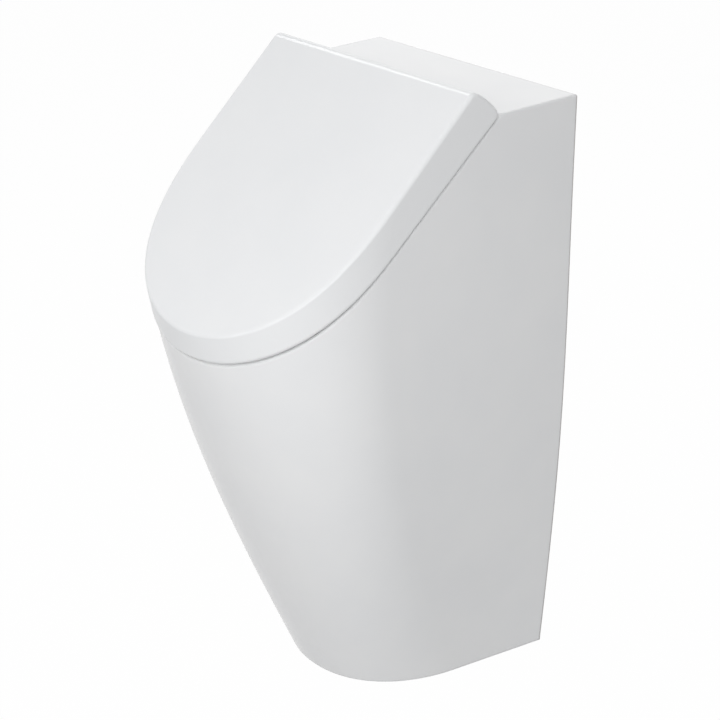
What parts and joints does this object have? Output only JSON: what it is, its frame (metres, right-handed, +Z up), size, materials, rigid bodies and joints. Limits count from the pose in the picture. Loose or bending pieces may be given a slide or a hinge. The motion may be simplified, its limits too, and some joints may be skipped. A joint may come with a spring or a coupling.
{
  "type": "urinal with lid",
  "caption": "Wall-hung glazed china urinal with a slanted rim, a hinged wedge-shaped soft-close lid, a rear flush inlet, a lift-out strainer and a hidden bottle trap.",
  "frame": {"origin": "on the wall face, midway between the two stud holes", "axes": "+X to the right when facing the urinal, +Y into the wall, +Z up"},
  "size_m": [0.294, 0.3721, 0.657],
  "materials": {
    "glazed_china": "glossy fired glaze",
    "lid_white": "polished moulded thermoset",
    "rubber_grey": "soft matt rubber",
    "rubber_black": "matt rubber",
    "hinge_steel": "brushed",
    "pin_steel": "ground",
    "zinc_steel": "zinc plated",
    "bush_plastic": "moulded",
    "damper_black": "moulded",
    "chrome_brass": "polished chrome plate",
    "brass": "machined",
    "pipe_white": "moulded"
  },
  "bodies": {
    "body": {"china_shell": "glazed_china", "bowl_upper": "glazed_china", "bowl_lower": "glazed_china", "hinge_post_left": "hinge_steel", "hinge_post_right": "hinge_steel", "hinge_pin_left": "pin_steel", "hinge_pin_right": "pin_steel", "hinge_studs": "zinc_steel", "hinge_nuts": "zinc_steel", "hinge_washers": "zinc_steel", "hinge_sleeves": "rubber_black", "fixing_sleeves": "bush_plastic", "fixing_washers": "zinc_steel", "flush_nozzle": "chrome_brass", "nozzle_seal": "rubber_black", "nozzle_washer": "bush_plastic", "nozzle_locknut": "brass", "inlet_tube": "pipe_white", "inlet_wall_seal": "rubber_black", "drain_body": "pipe_white", "drain_gasket": "rubber_black", "drain_under_washer": "rubber_black", "drain_locknut": "pipe_white", "trap_body": "pipe_white", "tail_seal": "rubber_black", "trap_cup": "pipe_white", "trap_seal": "rubber_black", "outlet_pipe": "pipe_white", "outlet_seal": "rubber_black", "outlet_nut": "pipe_white"},
    "lid": {"lid_shell": "lid_white", "lid_buffers": "rubber_grey", "hinge_bush_left": "bush_plastic", "hinge_bush_right": "bush_plastic", "damper_left": "damper_black", "damper_right": "damper_black"},
    "strainer": {"strainer": "chrome_brass"}
  },
  "joints": [
    {"name": "lid_hinge", "type": "hinge", "parent": "body", "child": "lid", "pos_m": [0, -0.12642, 0.09089], "axis": [-1, 0, 0], "range_deg": [0, 138]},
    {"name": "strainer_lift", "type": "slide", "parent": "body", "child": "strainer", "axis": [0, 0, 1], "range_m": [0, 0.06]}
  ]
}
